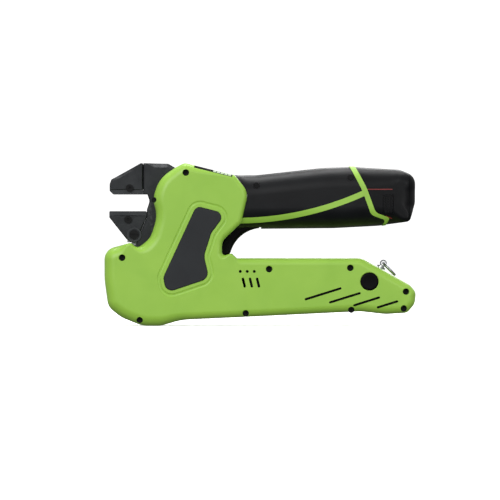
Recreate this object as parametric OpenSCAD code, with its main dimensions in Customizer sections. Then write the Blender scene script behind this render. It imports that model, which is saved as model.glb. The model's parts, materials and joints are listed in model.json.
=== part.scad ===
// Battery crimping tool: a fixed and a sliding jaw, driven by a motor, planetary gears, a screw and a wedge.
// Millimetres. +X points to the battery, the jaws point to -X, +Z is up, the halves meet at Y = 0.
// The origin is the bottom centre of the whole tool.

/* [Body] */
// Width of the green body over both halves
body_w = 54; // [52:1:56]
// Wall thickness of the body and the handle
wall = 2.5; // [2:0.25:3]
// Radius of the rounded body edges
edge_r = 11; // [8:1:12]

/* [Handle and battery] */
// Width of the handle
grip_w = 44; // [42:1:46]
// Radius of the rounded handle edges
grip_r = 20; // [18:1:20.5]
// Width of the part of the battery that slides into the handle
stick_w = 32; // [30:1:33]

/* [Jaws] */
// Thickness of the jaws
jaw_t = 18; // [16:1:18]
// Height of the lower die's face when the jaws are open
jaw_low = 108.5; // [108:0.5:108.5]
// Height of the upper die's face
jaw_high = 124.5; // [124.5:0.5:126]
// Travel of the lower jaw
jaw_travel = 15; // [12:0.5:15]

/* [Drive] */
// Height of the motor, gear and screw axis
drive_z = 37; // [36.5:0.5:37]
// Rise of the wedge for each millimetre of travel
wedge_rise = 0.75; // [0.75:0.01:0.76]
// Radius of the lead screw
screw_r = 5; // [4:0.5:5]
// Radius of the motor can
motor_r = 13.5; // [13:0.25:13.5]

/* [Hidden] */
$fn = 48;
fit = 0.05;
gap = 0.3;
half_w = body_w / 2;
front_x = -147;
rear_x = 147;
top_z = 154;

// Corners [x, z, radius] of the body's side outline
BODY = [
    [-80, 149.5, 20], [-71, 154, 8], [-24, 142.4, 8], [-11, 126, 16], [-18, 97, 8], [-36, 80, 12],
    [-36, 66, 3], [-27, 68.5, 2], [-22, 64, 3], [96, 64, 14], [141, 39, 8], [147, 32, 8], [146, 21, 10],
    [139, 12.4, 8], [118, 11.2, 30], [95, 13.8, 40], [-20, 8.2, 80], [-74, 5.8, 60], [-94, 0, 30],
    [-111, 0, 30], [-131, 8, 30], [-143.5, 18, 14], [front_x, 44, 60], [front_x, 72, 12],
    [-122, 78.6, 3], [-116, 73, 5], [-103.5, 83, 20], [-97, 104, 28], [-101.5, 120, 24], [-95, 139, 30],
];
// Corners of the handle and battery outline
GRIP = [
    [-40, 142.8, 1], [-3, 142.8, 40], [60, 149.8, 60], [90, 150.8, 60], [132, 148, 16], [rear_x, 142, 12],
    [rear_x, 116, 20], [141.5, 98.6, 5], [112, 94.6, 40], [70, 92.4, 60], [-40, 91.4, 1],
];
// Centre line of the collar, where the handle ends and the battery begins
COLLAR = [[78, 166, 1], [88, 149.5, 10], [98.5, 129, 60], [107, 105.8, 8], [120.5, 101, 2], [113, 86, 1]];
collar_w = 4.3;
// Corners of the side panel
PANEL = [
    [-60, 113, 6], [-32.5, 106, 6], [-46, 88, 14], [-53, 66, 14], [-48, 45, 8], [-88.5, 31.5, 7],
    [-91, 46, 8],
];
panel_t = 1.6;
panel_sink = 1.2;
// Screw places [x, z] of the body and of the handle
BODY_SCREWS = [
    [-70, 144.6], [-130, 64.4], [-113.5, 5.6], [8.5, 53.6], [85, 54.8], [137.5, 32.5], [135.5, 16.5],
    [86, 15.2], [-13.5, 12],
];
GRIP_SCREWS = [[-3.3, 132.5], [85.5, 140]];
// How far their heads lie below the widest part of the handle
GRIP_SINKS = [3.4, 1.95];
// Pins through the frame: two in the jaw arm, two in the foot
FRAME_PINS = [[-100.5, 119], [-90, 137], [-104, 50], [-104, 28]];
frame_pin_r = 2.2;
screw_head_r = 2.9;
hole_r = 3.2;
boss_r = 4.2;
// Rear slope of the body
slope_a = 29.05;

// Wedge and roller
wedge_a = atan(wedge_rise);
roller_r = 7;
stem_x = -117.5;
wedge_z = 28;
roller_z = wedge_z + (roller_r + 0.1) / cos(wedge_a);
wedge_bottom = 20;
// Planetary gears
tooth_module = 0.5;
sun_teeth = 12;
planet_teeth = 18;
ring_teeth = 48;
latch_travel = 1.5;
planet_orbit = tooth_module * (sun_teeth + planet_teeth) / 2;
// Trigger pivot
trigger_x = -38;
trigger_z = 70.5;
trigger_pin_r = 1.5;
// Display strip on the top edge of the head
display_w = 26;
display_t = 2.3;
// Inner face of the frame plates
plate_in = 4.2;
// Hanging eye
eye_x = 117.2;
eye_z = 59.2;
ring_a = 45.7;
ring_r = 7.6;
ring_wire = 1.2;

// Outline helpers: corners [x, z, radius] become points with arcs
function unit(v) = v / norm(v);
function arc_points(a, b, d) =
    let (
        p = [b[0], b[1]],
        u = unit([a[0], a[1]] - p),
        v = unit([d[0], d[1]] - p),
        inner = acos(max(-1, min(1, u * v))),
        turn = 180 - inner,
        centre = p + unit(u + v) * b[2] / sin(inner / 2),
        from = p + u * b[2] / tan(inner / 2) - centre,
        side = sign(cross(-u, v)),
        steps = max(1, ceil(turn / 15))
    )
    [for (i = [0:steps]) let (t = side * turn * i / steps)
        centre + [from[0] * cos(t) - from[1] * sin(t), from[0] * sin(t) + from[1] * cos(t)]];
function rounded(c) =
    let (n = len(c)) [for (i = [0:n - 1]) each arc_points(c[(i + n - 1) % n], c[i], c[(i + 1) % n])];
function bent(c) =
    let (n = len(c)) [[c[0][0], c[0][1]], for (i = [1:n - 2]) each arc_points(c[i - 1], c[i], c[i + 1]),
        [c[n - 1][0], c[n - 1][1]]];
function ring_of(r, a) = [r * cos(a), r * sin(a)];

// A side outline (x, z) as a plate from y0 to y1
module plate(y0, y1) {
    translate([0, y1, 0]) rotate([90, 0, 0]) linear_extrude(y1 - y0) children();
}
// A cross-section (y, z) as a bar from x0 to x1
module bar_x(x0, x1) {
    translate([x0, 0, 0]) rotate([90, 0, 90]) linear_extrude(x1 - x0) children();
}
module rod_x(x0, x1, r, y = 0, z = drive_z) {
    translate([x0, y, z]) rotate([0, 90, 0]) cylinder(h = x1 - x0, r = r);
}
module rod_y(x, z, y0, y1, r) {
    translate([x, y0, z]) rotate([-90, 0, 0]) cylinder(h = y1 - y0, r = r);
}
module block(x0, x1, y0, y1, z0, z1) {
    translate([x0, y0, z0]) cube([x1 - x0, y1 - y0, z1 - z0]);
}
module round_rect(x0, x1, y0, y1, r) {
    translate([x0 + r, y0]) square([x1 - x0 - 2 * r, y1 - y0]);
    translate([x0, y0 + r]) square([x1 - x0, y1 - y0 - 2 * r]);
    for (x = [x0 + r, x1 - r], y = [y0 + r, y1 - r]) translate([x, y]) circle(r);
}
module half(side) {
    block(-200, 200, side < 0 ? -60 : 0, side < 0 ? 0 : 60, -10, 200);
}
// A slot with round ends through the side wall
module side_slot(x0, z0, x1, z1, w) {
    length = norm([x1 - x0, z1 - z0]);
    translate([x0, 0, z0]) rotate([0, -atan2(z1 - z0, x1 - x0), 0]) {
        block(0, length, -40, 40, -w / 2, w / 2);
        for (x = [0, length]) translate([x, -40, 0]) rotate([-90, 0, 0]) cylinder(h = 80, r = w / 2, $fn = 16);
    }
}

// Body shape, shrunk on all sides by inset
module body_solid(inset) {
    w = half_w - inset;
    r = edge_r - inset;
    intersection() {
        plate(-w, w) offset(delta = -inset) polygon(rounded(BODY));
        union() {
            intersection() {
                bar_x(-150, -8) round_rect(-w, w, inset, top_z - inset, r);
                translate([0, 0, -1]) linear_extrude(160) round_rect(front_x + inset, -8 - inset, -w, w, r);
            }
            bar_x(-60, rear_x) round_rect(-w, w, 6 + inset, 64 - inset, r);
        }
    }
}
module bosses(side) {
    for (s = BODY_SCREWS) rod_y(s[0], s[1], side < 0 ? -half_w : 0, side < 0 ? 0 : half_w, boss_r);
}
module vents() {
    for (i = [0:2]) {
        translate([-18.7 + 6.6 * i, -40, 51.5]) rotate([-90, 0, 0]) cylinder(h = 80, r = 1.4, $fn = 16);
        side_slot(-16.2 + 6.7 * i, 44.5, -14.5 + 6.7 * i, 37.5, 2.4);
    }
    side_slot(43, 25.3, 75.5, 35.5, 2.2);
    side_slot(66, 22.4, 93.7, 31, 2.2);
    side_slot(88.7, 19.6, 112, 27, 2.2);
    side_slot(111, 17.7, 129, 23.3, 2.2);
}
module housing_half(side) {
    y_out = side * half_w;
    difference() {
        intersection() {
            body_solid(0);
            half(side);
            union() {
                difference() {
                    block(-160, 160, -40, 40, -1, 160);
                    body_solid(wall);
                }
                bosses(side);
                // Floor under the display
                display_place() block(-21, 21.5, -30, 30, -display_t - 2.6, -display_t + 0.5);
            }
        }
        // Opening for the steel head and the moving jaw
        block(-130, -70, -jaw_t / 2 - gap, jaw_t / 2 + gap, 66, 160);
        // Opening for the trigger and for the leads from the handle
        block(-60, -10, -9.6, 9.6, 64.3, 106);
        block(-30, 0, -8, 8, 98, 124);
        rod_y(trigger_x, trigger_z, -14, 14, trigger_pin_r);
        // Notch that shows the front pin of the frame
        rod_y(FRAME_PINS[0][0], FRAME_PINS[0][1], -half_w - 1, half_w + 1, 2.8);
        // Screws: clearance and counterbore on the left, pilot on the right
        for (s = BODY_SCREWS) {
            rod_y(s[0], s[1], -half_w + 8, half_w - 6, 1.6);
            if (side < 0) rod_y(s[0], s[1], -half_w - 1, -half_w + 8.1, hole_r);
        }
        vents();
        // Recess and groove of the side panel
        plate(min(y_out, y_out - side * panel_sink), max(y_out, y_out - side * panel_sink))
            offset(delta = 0.2) polygon(rounded(PANEL));
        plate(min(y_out, y_out - side * 0.8), max(y_out, y_out - side * 0.8)) difference() {
            offset(delta = 5) polygon(rounded(PANEL));
            offset(delta = 4) polygon(rounded(PANEL));
        }
        // Side button on the left half
        if (side < 0) rod_y(103, 42, -half_w - 1, -half_w + 4, 8.6);
        // Display on the top edge of the head
        display_pocket();
        // Foot of the hanging eye
        eye_place() translate([0, 0, -14]) cylinder(h = 12, r = 2.5 + fit);
    }
}
module housing_left() {
    color("yellowgreen") housing_half(-1);
}
module housing_right() {
    color("yellowgreen") housing_half(1);
}

module panel(side) {
    outer = side * (half_w - panel_sink + panel_t);
    inner = side * (half_w - panel_sink);
    color("dimgray") plate(min(inner, outer), max(inner, outer)) polygon(rounded(PANEL));
}
module panel_left() {
    panel(-1);
}
module panel_right() {
    panel(1);
}

// Display: a raised strip on the sloping top of the head
module display_place() {
    translate([-44, 0, 147.3]) rotate([0, 13.86, 0]) children();
}
module display_pocket() {
    display_place() block(-18.2, 18.7, -30, 30, -display_t, 3);
}
module display_window() {
    color("black") display_place() difference() {
        block(-18, 18.5, -display_w / 2, display_w / 2, -display_t, 0);
        for (i = [0:4]) block(-0.2 + 3.6 * i, 3 + 3.6 * i, -20, 20, -1.6, 1);
    }
}
module charge_lights() {
    color("gainsboro") display_place() for (i = [0:4])
        block(-0.1 + 3.6 * i, 2.9 + 3.6 * i, -display_w / 2, display_w / 2, -1.6, 0);
}

// Handle
module grip_solid(inset) {
    w = grip_w / 2 - inset;
    intersection() {
        plate(-w, w) offset(delta = -inset) polygon(rounded(GRIP));
        bar_x(-60, rear_x) round_rect(-w, w, 91 + inset, 151.5 - inset, grip_r - inset);
    }
}
module collar_side(grow) {
    plate(-40, 40) polygon([for (p = bent(COLLAR)) p + [grow, 0], [200, 84], [200, 172]]);
}
module collar_strip() {
    plate(-40, 40) difference() {
        polygon([for (p = bent(COLLAR)) p - [collar_w / 2, collar_w / 4], [200, 80], [200, 172]]);
        polygon([for (p = bent(COLLAR)) p + [collar_w / 2, collar_w / 4], [202, 84], [202, 178]]);
    }
}
// Stripe along the handle: an arc between the body and the collar
module stripe_strip() {
    arc_r = 289;
    centre = [-21.7, 99.4 + arc_r];
    plate(-40, 40) intersection() {
        translate(centre) difference() {
            circle(arc_r + 2.6, $fn = 180);
            circle(arc_r - 2.6, $fn = 180);
        }
        translate([-20, 90]) square([119, 36]);
    }
}
module stripe_channel() {
    difference() {
        union() {
            stripe_strip();
            difference() {
                collar_strip();
                block(150, 210, -50, 50, 60, 200);
            }
        }
        grip_solid(1);
    }
}
module handle_stripe() {
    color("yellowgreen") difference() {
        intersection() {
            grip_solid(-0.5);
            stripe_channel();
        }
        body_solid(0);
        collar_side(collar_w / 2 + 0.1);
    }
}
module grip_half(side) {
    difference() {
        intersection() {
            grip_solid(0);
            half(side);
            union() {
                difference() {
                    block(-60, 160, -40, 40, 60, 170);
                    grip_solid(wall);
                }
                rod_y(GRIP_SCREWS[0][0], GRIP_SCREWS[0][1], -20, 20, boss_r);
            }
        }
        body_solid(0);
        collar_side(0);
        stripe_channel();
        block(-40, 1, -9.6, 9.6, 90, 98);
        for (i = [0:1]) {
            y = side * (grip_w / 2 + 2);
            deep = side * (GRIP_SINKS[i] + 4.4);
            rod_y(GRIP_SCREWS[i][0], GRIP_SCREWS[i][1], min(y, y - deep), max(y, y - deep), hole_r);
        }
        rod_y(GRIP_SCREWS[0][0], GRIP_SCREWS[0][1], -20, 17, 1.6);
    }
}
module grip_left() {
    color("darkslategray") grip_half(-1);
}
module grip_right() {
    color("darkslategray") grip_half(1);
}

// Trigger: a crescent between two arcs, swinging about its lower end
module trigger() {
    color("black") difference() {
        union() {
            plate(-8.8, 8.8) intersection() {
                difference() {
                    translate([1, 63]) circle(41.5, $fn = 96);
                    translate([2.5, 61]) circle(31.6, $fn = 96);
                }
                polygon([[-38, 69], [-26, 69], [-10, 78], [-1, 91], [-1, 94.5], [-16, 104], [-42, 96]]);
            }
            rod_y(trigger_x, trigger_z, -8.8, 8.8, 3.2);
        }
        rod_y(trigger_x, trigger_z, -20, 20, trigger_pin_r + fit);
    }
}
module trigger_pin() {
    color("silver") rod_y(trigger_x, trigger_z, -14, 14, trigger_pin_r);
}
module trigger_switch() {
    color("black") {
        block(-62, -47, -6, 6, 92, 112);
        block(-47, -46, -2, 2, 95, 97);
    }
}

module side_button() {
    color("black") {
        rod_y(103, 42, -half_w + 0.2, -half_w + 2.6, 8.3);
        rod_y(103, 42, -half_w + 2.6, -12, 3);
    }
}
module button_seat() {
    color("gray") difference() {
        rod_y(103, 42, -half_w + 6.2, -half_w + 11, 7);
        rod_y(103, 42, -half_w + 5, -half_w + 12, 3 + fit);
    }
}
module control_board() {
    color("green") {
        block(104, 131, 5, 6.6, 20, 41);
        block(108, 114, 6.6, 12, 24, 30);
        block(118, 126, 6.6, 9, 32, 39);
    }
}

// Hanging eye on the rear slope and the ring through it
module eye_place() {
    translate([eye_x, 0, eye_z]) rotate([0, slope_a, 0]) children();
}
module hang_eye() {
    color("silver") eye_place() difference() {
        union() {
            translate([0, 0, -13.9]) cylinder(h = 11, r = 2.5);
            translate([0, 0, -5.2]) cylinder(h = 1.6, r = 4.2);
            translate([0, -1.6, 0]) rotate([-90, 0, 0]) cylinder(h = 3.2, r = 3.4);
            block(-2.4, 2.4, -1.6, 1.6, -4, 0);
        }
        translate([0, -5, 0]) rotate([-90, 0, 0]) cylinder(h = 10, r = 2);
    }
}
module hang_ring() {
    color("silver") translate([eye_x, 0, eye_z]) rotate([0, ring_a, 0]) translate([ring_r, 0, 0])
        rotate_extrude($fn = 64) translate([ring_r, 0]) circle(ring_wire, $fn = 24);
}

module screw_at(s, y_head, length) {
    difference() {
        union() {
            rod_y(s[0], s[1], y_head, y_head + 2.4, screw_head_r);
            rod_y(s[0], s[1], y_head + 2.4, y_head + length, 1.5);
        }
        translate([s[0], y_head - 1, s[1]]) rotate([-90, 0, 0]) cylinder(h = 2.2, r = 1.4, $fn = 6);
    }
}
module housing_screws() {
    color("dimgray") for (s = BODY_SCREWS) screw_at(s, -half_w + 5.7, 38);
}
module grip_screws() {
    color("dimgray") {
        screw_at(GRIP_SCREWS[0], -grip_w / 2 + GRIP_SINKS[0], 35);
        for (side = [-1, 1]) {
            y = side * (grip_w / 2 - GRIP_SINKS[1] - 1.1);
            rod_y(GRIP_SCREWS[1][0], GRIP_SCREWS[1][1], y - 1.1, y + 1.1, screw_head_r);
        }
    }
}

// Steel head
module frame_outline() {
    polygon(rounded([
        [-110.4, top_z, 0.4], [-87, 153.6, 4], [-76, 147, 4], [-76, 126, 8], [-86, 100, 16], [-99, 78, 10],
        [-99, wedge_bottom, 1], [-110, wedge_bottom, 1], [-110, 64.5, 1], [-122, 64.5, 1], [-122, 71, 1],
        [-117.6, 77, 1], [-107.2, 102.4, 1], [-107.2, 110, 5], [-104.6, 118, 6], [-106.8, jaw_high, 1],
        [-110.4, jaw_high, 0.4],
    ]));
}
module frame_plate(side) {
    inner = side * plate_in;
    outer = side * jaw_t / 2;
    color("dimgray") difference() {
        plate(min(inner, outer), max(inner, outer)) frame_outline();
        for (p = FRAME_PINS) rod_y(p[0], p[1], -20, 20, frame_pin_r);
    }
}
module frame_plate_left() {
    frame_plate(-1);
}
module frame_plate_right() {
    frame_plate(1);
}
module frame_pins() {
    outer = jaw_t / 2;
    color("silver") {
        for (i = [0:1]) rod_y(FRAME_PINS[i][0], FRAME_PINS[i][1], -outer, outer, frame_pin_r);
        for (i = [2:3], y = [-outer, plate_in])
            rod_y(FRAME_PINS[i][0], FRAME_PINS[i][1], y, y + outer - plate_in, frame_pin_r);
    }
}
module upper_jaw() {
    color("dimgray") difference() {
        union() {
            plate(-jaw_t / 2, jaw_t / 2) polygon(rounded([
                [-142.5, jaw_high + 4, 0.4], [-142.5, 134, 2], [-141, 138.5, 2], [-113, top_z, 2],
                [-111.4, top_z, 0.3], [-111.4, jaw_high + 4, 0.3],
            ]));
            plate(-4.1, 4.1) polygon(rounded([
                [-114, 129, 1], [-114, 153, 1], [-90, 153, 4], [-80, 148, 4], [-80, 120, 10], [-99, 112, 4],
                [-104, 118, 4], [-104, 129, 1],
            ]));
        }
        rod_y(-123.5, 130.4, -20, 0, 1.5);
        for (i = [0:1]) rod_y(FRAME_PINS[i][0], FRAME_PINS[i][1], -20, 20, frame_pin_r);
    }
}
// Dies: a plate with three shallow nests across its face
module die_nests(z) {
    for (x = [-134, -126, -118]) rod_y(x, z, -5, 5, 1.6);
}
module upper_die() {
    color("gray") difference() {
        plate(-jaw_t / 2 + 0.4, jaw_t / 2 - 0.4) polygon([
            [-142.5, jaw_high + 4], [-142.5, jaw_high + 3.2], [-139.3, jaw_high], [-110.45, jaw_high],
            [-110.45, jaw_high + 4],
        ]);
        die_nests(jaw_high - 1);
    }
}
module lower_die() {
    color("gray") difference() {
        plate(-jaw_t / 2 + 0.4, jaw_t / 2 - 0.4) polygon([
            [-142.8, jaw_low - 4], [-142.8, jaw_low - 0.6], [-142.2, jaw_low], [-108.4, jaw_low],
            [-107.6, jaw_low - 0.8], [-107.6, jaw_low - 4],
        ]);
        die_nests(jaw_low + 1);
    }
}
module button_screw(x, z, y_face, length) {
    color("silver") difference() {
        union() {
            rod_y(x, z, y_face - 2, y_face, 3.6);
            rod_y(x, z, y_face, y_face + length, 1.5);
        }
        translate([x, y_face - 3, z]) rotate([-90, 0, 0]) cylinder(h = 2.2, r = 1.5, $fn = 6);
    }
}
module upper_die_screw() {
    button_screw(-123.5, 130.4, -jaw_t / 2, 8);
}
module lower_die_screw() {
    button_screw(-125, 100.6, -jaw_t / 2, 4.5);
}
module lower_jaw() {
    color("dimgray") difference() {
        plate(-jaw_t / 2, jaw_t / 2) polygon(rounded([
            [-142.8, jaw_low - 4, 0.3], [-142.8, 102.5, 1.5], [-126.6, 82, 3], [-122, 78.7, 2],
            [-117.8, 78.7, 1], [-107.6, 103, 1], [-107.6, jaw_low - 4, 0.3],
        ]));
        block(-126, -100, -4, 4, 70, 98);
        rod_y(-119.2, 86.2, -20, 20, 4.3);
        rod_y(-125, 100.6, -20, -4.5, 1.5);
    }
}
module jaw_stem() {
    color("silver") difference() {
        union() {
            block(-126, -111, -4, 4, 79, 98);
            block(stem_x - 4, stem_x + 4, -4, 4, roller_z + roller_r + 1, 79);
            block(stem_x - 4, stem_x + 4, -7.5, 7.5, roller_z - 6, roller_z + roller_r + 2.5);
        }
        block(stem_x - 20, stem_x + 20, -4.3, 4.3, 0, roller_z + roller_r + 1);
        rod_y(stem_x, roller_z, -20, 20, 2.2);
        rod_y(-119.2, 86.2, -20, 20, 4.3);
    }
}
module jaw_pin() {
    color("silver") difference() {
        rod_y(-119.2, 86.2, -jaw_t / 2 - 1.4, jaw_t / 2 + 1.4, 4.3);
        block(-124, -114, -jaw_t / 2 - 2, -jaw_t / 2 - 0.6, 85.7, 86.7);
    }
}
module jaw_pin_washer() {
    color("gray") for (side = [-1, 1]) difference() {
        rod_y(-119.2, 86.2, side < 0 ? -jaw_t / 2 - 0.8 : jaw_t / 2, side < 0 ? -jaw_t / 2 : jaw_t / 2 + 0.8, 7.4);
        rod_y(-119.2, 86.2, -20, 20, 4.3);
    }
}
module roller() {
    color("silver") difference() {
        rod_y(stem_x, roller_z, -4, 4, roller_r);
        rod_y(stem_x, roller_z, -20, 20, 2.2 + fit);
    }
}
module roller_pin() {
    color("silver") rod_y(stem_x, roller_z, -7.5, 7.5, 2.2);
}
// Return spring: rings stand for its coils
module return_spring() {
    coils = 5;
    wire = 0.8;
    low = roller_z + roller_r + 2.6 + wire;
    high = 64.5 - wire;
    color("silver") for (i = [0:coils - 1])
        translate([stem_x, 0, low + (high - low) * i / (coils - 1)]) rotate_extrude() translate([6.9, 0])
            circle(wire, $fn = 16);
}

// Wedge drive
module drive_channel() {
    color("darkgray") difference() {
        block(-128, 12, -18, 18, wedge_bottom - 3.4, 44);
        block(-129, 13, -14.5, 14.5, wedge_bottom - 0.2, 50);
    }
}
module wedge_carriage() {
    rise_to = wedge_z + jaw_travel + 5;
    color("silver") difference() {
        union() {
            plate(-4, 4) polygon([
                [stem_x, wedge_bottom], [-73, wedge_bottom], [-73, rise_to],
                [stem_x + (rise_to - wedge_z) / wedge_rise, rise_to], [stem_x, wedge_z],
            ]);
            block(-76, -73, -13, 13, wedge_bottom, rise_to + 1);
        }
        rod_x(-80, -70, screw_r + 0.6);
    }
}
module drive_nut() {
    color("goldenrod") difference() {
        rod_x(-73, -37, 11);
        rod_x(-80, -30, screw_r + fit);
    }
}
// Lead screw: ring grooves stand for its thread
module lead_screw() {
    color("silver") difference() {
        rod_x(-72, 17, screw_r);
        for (x = [-70:5:-6]) translate([x, 0, drive_z]) rotate([0, 90, 0]) rotate_extrude()
            translate([screw_r, 0]) circle(0.8, $fn = 4);
    }
}
module screw_bearing() {
    color("silver") difference() {
        rod_x(2, 9, 10);
        rod_x(0, 20, screw_r + fit);
    }
}
module bearing_block() {
    color("gray") difference() {
        block(1, 12, -14.5, 14.5, wedge_bottom - 0.2, 48.5);
        rod_x(0, 9, 10);
        rod_x(0, 20, screw_r + 0.6);
    }
}
// Gear outline: straight-sided teeth round a pitch circle, tooth thickness as a part of the pitch
function gear_points(teeth, root_r, tip_r, base, tip) = [for (i = [0:teeth - 1]) each
    let (p = 360 / teeth, a = i * p)
    [ring_of(root_r, a - p * base / 2), ring_of(tip_r, a - p * tip / 2), ring_of(tip_r, a + p * tip / 2),
        ring_of(root_r, a + p * base / 2)]];
module gear(teeth) {
    pitch_r = tooth_module * teeth / 2;
    polygon(gear_points(teeth, pitch_r - 0.6, pitch_r + 0.4, 0.56, 0.22));
}
module gear_on_x(x0, x1) {
    translate([x0, 0, drive_z]) rotate([90, 0, 90]) linear_extrude(x1 - x0) children();
}
module ring_gear() {
    pitch_r = tooth_module * ring_teeth / 2;
    color("gray") difference() {
        rod_x(13, 41, 14);
        rod_x(12, 22, 13.1);
        gear_on_x(21, 42) rotate(3.75) polygon(gear_points(ring_teeth, pitch_r - 0.4, pitch_r + 0.6, 0.78, 0.44));
    }
}
module planet_carrier() {
    color("silver") {
        rod_x(17, 21, 11.5);
        for (i = [0:2]) rotate_about_drive(120 * i) rod_x(21, 39, 1.5, planet_orbit);
    }
}
module rotate_about_drive(a) {
    translate([0, 0, drive_z]) rotate([a, 0, 0]) translate([0, 0, -drive_z]) children();
}
module planet_gear(i) {
    color("goldenrod") rotate_about_drive(120 * i) difference() {
        gear_on_x(23, 37) translate([planet_orbit, 0]) rotate(180 / planet_teeth) gear(planet_teeth);
        rod_x(20, 40, 1.5 + fit, planet_orbit);
    }
}
module planet_gear_1() {
    planet_gear(0);
}
module planet_gear_2() {
    planet_gear(1);
}
module planet_gear_3() {
    planet_gear(2);
}
module sun_gear() {
    color("silver") difference() {
        gear_on_x(23, 38) gear(sun_teeth);
        rod_x(20, 40, 1.3);
    }
}

// Motor
module motor_can() {
    color("silver") difference() {
        rod_x(44, 94, motor_r);
        rod_x(46, 92, motor_r - 1.2);
        rod_x(40, 50, 4);
        rod_x(90, 100, 4);
    }
}
module motor_magnets() {
    color("dimgray") for (side = [-1, 1]) intersection() {
        difference() {
            rod_x(52, 86, motor_r - 1.2);
            rod_x(50, 90, motor_r - 3.4);
        }
        block(50, 90, -9.5, 9.5, side < 0 ? 20 : drive_z + 2, side < 0 ? drive_z - 2 : 60);
    }
}
module motor_bearings() {
    color("silver") for (x = [44, 92]) difference() {
        rod_x(x, x + 2, 4);
        rod_x(x - 1, x + 3, 1.3 + fit);
    }
}
module rotor() {
    color("peru") {
        rod_x(23, 103, 1.3);
        rod_x(54, 84, 9.5);
        rod_x(86, 90, 4);
    }
}
module cooling_fan() {
    color("black") difference() {
        union() {
            rod_x(96, 101, 4);
            for (i = [0:7]) rotate_about_drive(45 * i) block(97, 101, -0.5, 0.5, drive_z + 3, drive_z + 11.5);
        }
        rod_x(90, 110, 1.3);
    }
}

// Battery and its wiring
module terminal_block() {
    color("black") difference() {
        block(12, 19, -12, 12, 110, 134);
        for (y = [-6, 6]) block(14, 20, y - 1.5, y + 1.5, 112, 120);
    }
}
// A lead swept along a route: each ring stands across the bend between its two neighbours
function along(route, i) =
    let (n = len(route) - 1) unit(route[min(i + 1, n)] - route[max(i - 1, 0)]);
module lead(route, r, sides = 8) {
    n = len(route);
    rings = [for (i = [0:n - 1]) let (d = along(route, i), u = unit(cross(d, [0.1, 1, 0.2])), v = cross(d, u))
        for (k = [0:sides - 1]) route[i] + r * (u * cos(360 * k / sides) + v * sin(360 * k / sides))];
    walls = [for (i = [0:n - 2], k = [0:sides - 1]) let (m = (k + 1) % sides, a = i * sides)
        each [[a + k, a + m, a + sides + k], [a + m, a + sides + m, a + sides + k]]];
    start = [for (k = [sides - 1:-1:0]) k];
    end = [for (k = [0:sides - 1]) (n - 1) * sides + k];
    polyhedron(rings, concat(walls, [start], [end]));
}
module power_leads() {
    color("red") for (side = [-1, 1])
        lead([[12, 4 * side, 116], [0, 4 * side, 116], [-14, 4 * side, 115], [-26, 5 * side, 112],
            [-42, 8 * side, 103], [-50, 12 * side, 92], [-53, 18 * side, 76], [-52, 21 * side, 60],
            [-49, 21.6 * side, 46], [-42, 21.6 * side, 35], [-32, 21.6 * side, 30], [0, 21.6 * side, 29],
            [80, 21.6 * side, 29], [90, 20 * side, 29], [96, 15 * side, 29], [100, 10 * side, 29]], 1.2);
}
module battery_solid(inset) {
    difference() {
        grip_solid(inset);
        plate(-40, 40) polygon([for (p = bent(COLLAR)) p + [collar_w / 2 + 0.2 + inset, 0], [-90, 84], [-90, 172]]);
    }
}
module stick(inset) {
    bar_x(22 + inset, 112) round_rect(-stick_w / 2 + inset, stick_w / 2 - inset, 99 + inset, 138 - inset, 12 - inset);
}
module battery_case() {
    color("dimgray") difference() {
        union() {
            battery_solid(0);
            difference() {
                stick(0);
                block(100, 170, -40, 40, 60, 170);
            }
        }
        block(141, 160, -40, 40, 60, 170);
        block(30, 135, -13.5, 13.5, 101.5, 136);
        for (side = [-1, 1]) latch_pocket(side, 0.2, latch_travel + 0.3);
        seam_channel();
    }
}
module battery_cells() {
    color("seagreen") {
        for (x = [33, 99]) rod_x(x, x + 33, 6.6, -6.7, 109);
        for (x = [33, 99]) rod_x(x, x + 33, 6.6, 6.7, 109);
        for (x = [33, 99]) rod_x(x, x + 33, 6.6, 0, 121);
    }
}
module battery_cap() {
    color("black") difference() {
        intersection() {
            battery_solid(0);
            block(141, 160, -40, 40, 60, 170);
        }
        seam_channel();
    }
}
module seam_channel() {
    difference() {
        union() {
            block(100.5, 126, -40, 40, 128.4, 129.4);
            translate([119, 0, 103.6]) rotate([0, 22, 0]) block(0, 6, -40, 40, -0.4, 0.4);
        }
        grip_solid(0.6);
    }
}
module battery_seam() {
    color("darkred") intersection() {
        battery_solid(0);
        seam_channel();
    }
}
module latch_pocket(side, grow, deeper) {
    inner = side * (grip_w / 2 - 3.4 - deeper);
    outer = side * (grip_w / 2 + 2);
    block(116.5 - grow, 125.5 + grow, min(inner, outer), max(inner, outer), 106 - grow, 123.5 + grow);
}
module latch(side) {
    color("dimgray") difference() {
        intersection() {
            battery_solid(0.1);
            latch_pocket(side, 0, 0);
        }
        for (x = [118.2, 120.6, 123])
            block(x, x + 1, side * grip_w / 2 - 0.9, side * grip_w / 2 + 0.9, 100, 130);
    }
}
module latch_left() {
    latch(-1);
}
module latch_right() {
    latch(1);
}

housing_left();
housing_right();
grip_left();
grip_right();
handle_stripe();
panel_left();
panel_right();
display_window();
charge_lights();
trigger();
trigger_pin();
trigger_switch();
side_button();
button_seat();
control_board();
hang_eye();
hang_ring();
housing_screws();
grip_screws();
frame_plate_left();
frame_plate_right();
upper_jaw();
upper_die();
upper_die_screw();
frame_pins();
lower_jaw();
lower_die();
lower_die_screw();
jaw_stem();
jaw_pin();
jaw_pin_washer();
roller();
roller_pin();
return_spring();
drive_channel();
wedge_carriage();
drive_nut();
lead_screw();
screw_bearing();
bearing_block();
ring_gear();
planet_carrier();
planet_gear_1();
planet_gear_2();
planet_gear_3();
sun_gear();
motor_can();
motor_magnets();
motor_bearings();
rotor();
cooling_fan();
terminal_block();
power_leads();
battery_case();
battery_cells();
battery_cap();
battery_seam();
latch_left();
latch_right();
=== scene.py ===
import json
import math

import bmesh
import bpy
import numpy as np
from mathutils import Matrix, Vector


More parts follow.
